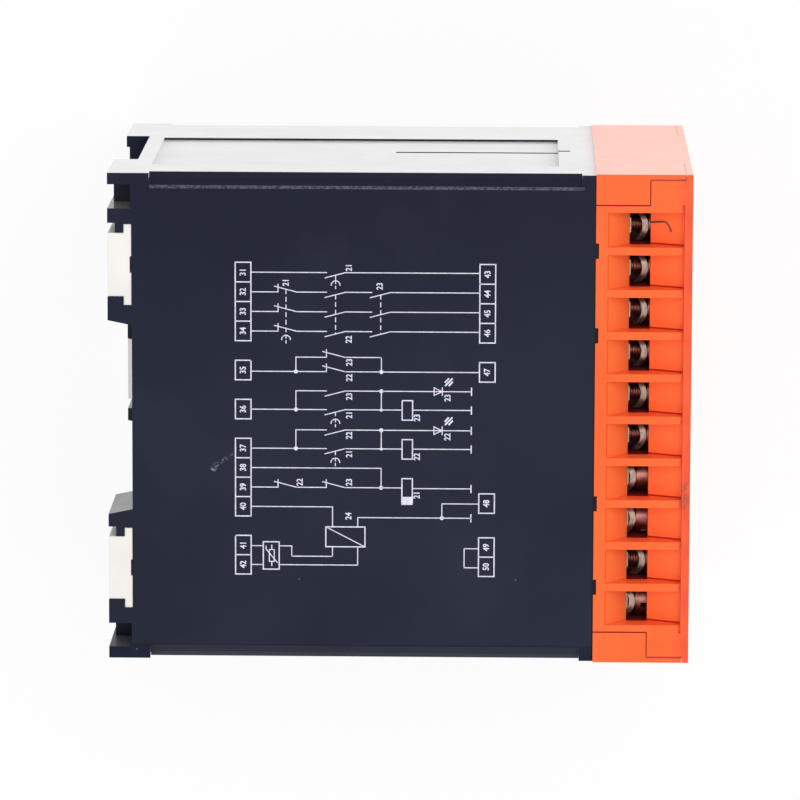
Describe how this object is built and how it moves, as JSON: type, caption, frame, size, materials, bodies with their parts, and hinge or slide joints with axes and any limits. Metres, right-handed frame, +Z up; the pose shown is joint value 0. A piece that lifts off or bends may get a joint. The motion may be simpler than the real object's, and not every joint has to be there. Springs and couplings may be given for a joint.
{
  "type": "safety relay",
  "caption": "Rail-mounted safety relay module: black shell, orange terminal front with screw clamps, sprung cream rail latches and status lights.",
  "frame": {"origin": "centre of the bottom face, on the surface that the module stands on", "axes": "+X along the rail, +Y towards the rail side, -Y the front with the status lights, +Z up with the printed wire-entry face on top"},
  "size_m": [0.09, 0.1066, 0.075],
  "materials": {
    "black_plastic": "satin moulded",
    "orange_plastic": "satin moulded",
    "cream_plastic": "satin moulded",
    "clear_plastic": "polished",
    "board": "solder mask",
    "tinned_brass": "tinned",
    "washer_steel": "zinc plated",
    "screw_steel": "bronze-toned plating",
    "transformer_potting": "potted",
    "capacitor_sleeve": "shrink sleeve",
    "varistor_coating": "dipped",
    "relay_case": "moulded"
  },
  "bodies": {
    "module": {"housing": "black_plastic", "front_cover": "orange_plastic", "terminal_strip_top": "orange_plastic", "terminal_strip_bottom": "orange_plastic", "light_guide": "clear_plastic", "upper_board": "board", "lower_board": "board", "riser_card": "board", "contact_plates_top": "tinned_brass", "contact_plates_bottom": "tinned_brass", "transformer": "transformer_potting", "capacitor": "capacitor_sleeve", "varistor": "varistor_coating", "relay_1": "relay_case", "relay_2": "relay_case", "relay_3": "relay_case"},
    "rail_latch_1": {"rail_latch_1": "cream_plastic"},
    "rail_latch_2": {"rail_latch_2": "cream_plastic"},
    "rail_latch_3": {"rail_latch_3": "cream_plastic"},
    "clamp_01": {"clamp_01": "washer_steel"},
    "screw_01": {"screw_01": "screw_steel"},
    "clamp_02": {"clamp_02": "washer_steel"},
    "screw_02": {"screw_02": "screw_steel"},
    "clamp_03": {"clamp_03": "washer_steel"},
    "screw_03": {"screw_03": "screw_steel"},
    "clamp_04": {"clamp_04": "washer_steel"},
    "screw_04": {"screw_04": "screw_steel"},
    "clamp_05": {"clamp_05": "washer_steel"},
    "screw_05": {"screw_05": "screw_steel"},
    "clamp_06": {"clamp_06": "washer_steel"},
    "screw_06": {"screw_06": "screw_steel"},
    "clamp_07": {"clamp_07": "washer_steel"},
    "screw_07": {"screw_07": "screw_steel"},
    "clamp_08": {"clamp_08": "washer_steel"},
    "screw_08": {"screw_08": "screw_steel"},
    "clamp_09": {"clamp_09": "washer_steel"},
    "screw_09": {"screw_09": "screw_steel"},
    "clamp_10": {"clamp_10": "washer_steel"},
    "screw_10": {"screw_10": "screw_steel"},
    "clamp_11": {"clamp_11": "washer_steel"},
    "screw_11": {"screw_11": "screw_steel"},
    "clamp_12": {"clamp_12": "washer_steel"},
    "screw_12": {"screw_12": "screw_steel"},
    "clamp_13": {"clamp_13": "washer_steel"},
    "screw_13": {"screw_13": "screw_steel"},
    "clamp_14": {"clamp_14": "washer_steel"},
    "screw_14": {"screw_14": "screw_steel"},
    "clamp_15": {"clamp_15": "washer_steel"},
    "screw_15": {"screw_15": "screw_steel"},
    "clamp_16": {"clamp_16": "washer_steel"},
    "screw_16": {"screw_16": "screw_steel"},
    "clamp_17": {"clamp_17": "washer_steel"},
    "screw_17": {"screw_17": "screw_steel"},
    "clamp_18": {"clamp_18": "washer_steel"},
    "screw_18": {"screw_18": "screw_steel"},
    "clamp_19": {"clamp_19": "washer_steel"},
    "screw_19": {"screw_19": "screw_steel"},
    "clamp_20": {"clamp_20": "washer_steel"},
    "screw_20": {"screw_20": "screw_steel"}
  },
  "joints": [
    {"name": "rail_latch_1_slide", "type": "slide", "parent": "module", "child": "rail_latch_1", "axis": [0, 0, 1], "range_m": [0, 0.0035], "stiffness_N_per_m": 200, "springref_m": -0.005},
    {"name": "rail_latch_2_slide", "type": "slide", "parent": "module", "child": "rail_latch_2", "axis": [0, 0, 1], "range_m": [0, 0.0035], "stiffness_N_per_m": 200, "springref_m": -0.005},
    {"name": "rail_latch_3_slide", "type": "slide", "parent": "module", "child": "rail_latch_3", "axis": [0, 0, -1], "range_m": [0, 0.0035], "stiffness_N_per_m": 200, "springref_m": -0.005},
    {"name": "clamp_01_slide", "type": "slide", "parent": "module", "child": "clamp_01", "axis": [0, 1, 0], "range_m": [0, 0.0018]},
    {"name": "screw_01_turn", "type": "hinge", "parent": "clamp_01", "child": "screw_01", "pos_m": [0.03488, -0.045, 0.0655], "axis": [0, 1, 0], "range_deg": [0, 1081]},
    {"name": "clamp_02_slide", "type": "slide", "parent": "module", "child": "clamp_02", "axis": [0, 1, 0], "range_m": [0, 0.0018]},
    {"name": "screw_02_turn", "type": "hinge", "parent": "clamp_02", "child": "screw_02", "pos_m": [0.02712, -0.045, 0.0655], "axis": [0, 1, 0], "range_deg": [0, 1081]},
    {"name": "clamp_03_slide", "type": "slide", "parent": "module", "child": "clamp_03", "axis": [0, 1, 0], "range_m": [0, 0.0018]},
    {"name": "screw_03_turn", "type": "hinge", "parent": "clamp_03", "child": "screw_03", "pos_m": [0.01937, -0.045, 0.0655], "axis": [0, 1, 0], "range_deg": [0, 1081]},
    {"name": "clamp_04_slide", "type": "slide", "parent": "module", "child": "clamp_04", "axis": [0, 1, 0], "range_m": [0, 0.0018]},
    {"name": "screw_04_turn", "type": "hinge", "parent": "clamp_04", "child": "screw_04", "pos_m": [0.01162, -0.045, 0.0655], "axis": [0, 1, 0], "range_deg": [0, 1081]},
    {"name": "clamp_05_slide", "type": "slide", "parent": "module", "child": "clamp_05", "axis": [0, 1, 0], "range_m": [0, 0.0018]},
    {"name": "screw_05_turn", "type": "hinge", "parent": "clamp_05", "child": "screw_05", "pos_m": [0.00387, -0.045, 0.0655], "axis": [0, 1, 0], "range_deg": [0, 1081]},
    {"name": "clamp_06_slide", "type": "slide", "parent": "module", "child": "clamp_06", "axis": [0, 1, 0], "range_m": [0, 0.0018]},
    {"name": "screw_06_turn", "type": "hinge", "parent": "clamp_06", "child": "screw_06", "pos_m": [-0.00387, -0.045, 0.0655], "axis": [0, 1, 0], "range_deg": [0, 1081]},
    {"name": "clamp_07_slide", "type": "slide", "parent": "module", "child": "clamp_07", "axis": [0, 1, 0], "range_m": [-0.0018, 0]},
    {"name": "screw_07_turn", "type": "hinge", "parent": "clamp_07", "child": "screw_07", "pos_m": [-0.01162, -0.045, 0.0655], "axis": [0, 1, 0], "range_deg": [-1081, 0]},
    {"name": "clamp_08_slide", "type": "slide", "parent": "module", "child": "clamp_08", "axis": [0, 1, 0], "range_m": [-0.0018, 0]},
    {"name": "screw_08_turn", "type": "hinge", "parent": "clamp_08", "child": "screw_08", "pos_m": [-0.01937, -0.045, 0.0655], "axis": [0, 1, 0], "range_deg": [-1081, 0]},
    {"name": "clamp_09_slide", "type": "slide", "parent": "module", "child": "clamp_09", "axis": [0, 1, 0], "range_m": [0, 0.0018]},
    {"name": "screw_09_turn", "type": "hinge", "parent": "clamp_09", "child": "screw_09", "pos_m": [-0.02712, -0.045, 0.0655], "axis": [0, 1, 0], "range_deg": [0, 1081]},
    {"name": "clamp_10_slide", "type": "slide", "parent": "module", "child": "clamp_10", "axis": [0, 1, 0], "range_m": [-0.0018, 0]},
    {"name": "screw_10_turn", "type": "hinge", "parent": "clamp_10", "child": "screw_10", "pos_m": [-0.03488, -0.045, 0.0655], "axis": [0, 1, 0], "range_deg": [-1081, 0]},
    {"name": "clamp_11_slide", "type": "slide", "parent": "module", "child": "clamp_11", "axis": [0, 1, 0], "range_m": [0, 0.0018]},
    {"name": "screw_11_turn", "type": "hinge", "parent": "clamp_11", "child": "screw_11", "pos_m": [0.03488, -0.045, 0.0095], "axis": [0, 1, 0], "range_deg": [0, 1081]},
    {"name": "clamp_12_slide", "type": "slide", "parent": "module", "child": "clamp_12", "axis": [0, 1, 0], "range_m": [0, 0.0018]},
    {"name": "screw_12_turn", "type": "hinge", "parent": "clamp_12", "child": "screw_12", "pos_m": [0.02712, -0.045, 0.0095], "axis": [0, 1, 0], "range_deg": [0, 1081]},
    {"name": "clamp_13_slide", "type": "slide", "parent": "module", "child": "clamp_13", "axis": [0, 1, 0], "range_m": [0, 0.0018]},
    {"name": "screw_13_turn", "type": "hinge", "parent": "clamp_13", "child": "screw_13", "pos_m": [0.01937, -0.045, 0.0095], "axis": [0, 1, 0], "range_deg": [0, 1081]},
    {"name": "clamp_14_slide", "type": "slide", "parent": "module", "child": "clamp_14", "axis": [0, 1, 0], "range_m": [0, 0.0018]},
    {"name": "screw_14_turn", "type": "hinge", "parent": "clamp_14", "child": "screw_14", "pos_m": [0.01162, -0.045, 0.0095], "axis": [0, 1, 0], "range_deg": [0, 1081]},
    {"name": "clamp_15_slide", "type": "slide", "parent": "module", "child": "clamp_15", "axis": [0, 1, 0], "range_m": [0, 0.0018]},
    {"name": "screw_15_turn", "type": "hinge", "parent": "clamp_15", "child": "screw_15", "pos_m": [0.00387, -0.045, 0.0095], "axis": [0, 1, 0], "range_deg": [0, 1081]},
    {"name": "clamp_16_slide", "type": "slide", "parent": "module", "child": "clamp_16", "axis": [0, 1, 0], "range_m": [0, 0.0018]},
    {"name": "screw_16_turn", "type": "hinge", "parent": "clamp_16", "child": "screw_16", "pos_m": [-0.00387, -0.045, 0.0095], "axis": [0, 1, 0], "range_deg": [0, 1081]},
    {"name": "clamp_17_slide", "type": "slide", "parent": "module", "child": "clamp_17", "axis": [0, 1, 0], "range_m": [0, 0.0018]},
    {"name": "screw_17_turn", "type": "hinge", "parent": "clamp_17", "child": "screw_17", "pos_m": [-0.01162, -0.045, 0.0095], "axis": [0, 1, 0], "range_deg": [0, 1081]},
    {"name": "clamp_18_slide", "type": "slide", "parent": "module", "child": "clamp_18", "axis": [0, 1, 0], "range_m": [0, 0.0018]},
    {"name": "screw_18_turn", "type": "hinge", "parent": "clamp_18", "child": "screw_18", "pos_m": [-0.01937, -0.045, 0.0095], "axis": [0, 1, 0], "range_deg": [0, 1081]},
    {"name": "clamp_19_slide", "type": "slide", "parent": "module", "child": "clamp_19", "axis": [0, 1, 0], "range_m": [0, 0.0018]},
    {"name": "screw_19_turn", "type": "hinge", "parent": "clamp_19", "child": "screw_19", "pos_m": [-0.02712, -0.045, 0.0095], "axis": [0, 1, 0], "range_deg": [0, 1081]},
    {"name": "clamp_20_slide", "type": "slide", "parent": "module", "child": "clamp_20", "axis": [0, 1, 0], "range_m": [0, 0.0018]},
    {"name": "screw_20_turn", "type": "hinge", "parent": "clamp_20", "child": "screw_20", "pos_m": [-0.03488, -0.045, 0.0095], "axis": [0, 1, 0], "range_deg": [0, 1081]}
  ],
  "couplings": [
    {"joint": "screw_01_turn", "follows": "clamp_01_slide", "rad_per_m": 10472},
    {"joint": "screw_02_turn", "follows": "clamp_02_slide", "rad_per_m": 10472},
    {"joint": "screw_03_turn", "follows": "clamp_03_slide", "rad_per_m": 10472},
    {"joint": "screw_04_turn", "follows": "clamp_04_slide", "rad_per_m": 10472},
    {"joint": "screw_05_turn", "follows": "clamp_05_slide", "rad_per_m": 10472},
    {"joint": "screw_06_turn", "follows": "clamp_06_slide", "rad_per_m": 10472},
    {"joint": "screw_07_turn", "follows": "clamp_07_slide", "rad_per_m": 10472},
    {"joint": "screw_08_turn", "follows": "clamp_08_slide", "rad_per_m": 10472},
    {"joint": "screw_09_turn", "follows": "clamp_09_slide", "rad_per_m": 10472},
    {"joint": "screw_10_turn", "follows": "clamp_10_slide", "rad_per_m": 10472},
    {"joint": "screw_11_turn", "follows": "clamp_11_slide", "rad_per_m": 10472},
    {"joint": "screw_12_turn", "follows": "clamp_12_slide", "rad_per_m": 10472},
    {"joint": "screw_13_turn", "follows": "clamp_13_slide", "rad_per_m": 10472},
    {"joint": "screw_14_turn", "follows": "clamp_14_slide", "rad_per_m": 10472},
    {"joint": "screw_15_turn", "follows": "clamp_15_slide", "rad_per_m": 10472},
    {"joint": "screw_16_turn", "follows": "clamp_16_slide", "rad_per_m": 10472},
    {"joint": "screw_17_turn", "follows": "clamp_17_slide", "rad_per_m": 10472},
    {"joint": "screw_18_turn", "follows": "clamp_18_slide", "rad_per_m": 10472},
    {"joint": "screw_19_turn", "follows": "clamp_19_slide", "rad_per_m": 10472},
    {"joint": "screw_20_turn", "follows": "clamp_20_slide", "rad_per_m": 10472}
  ]
}
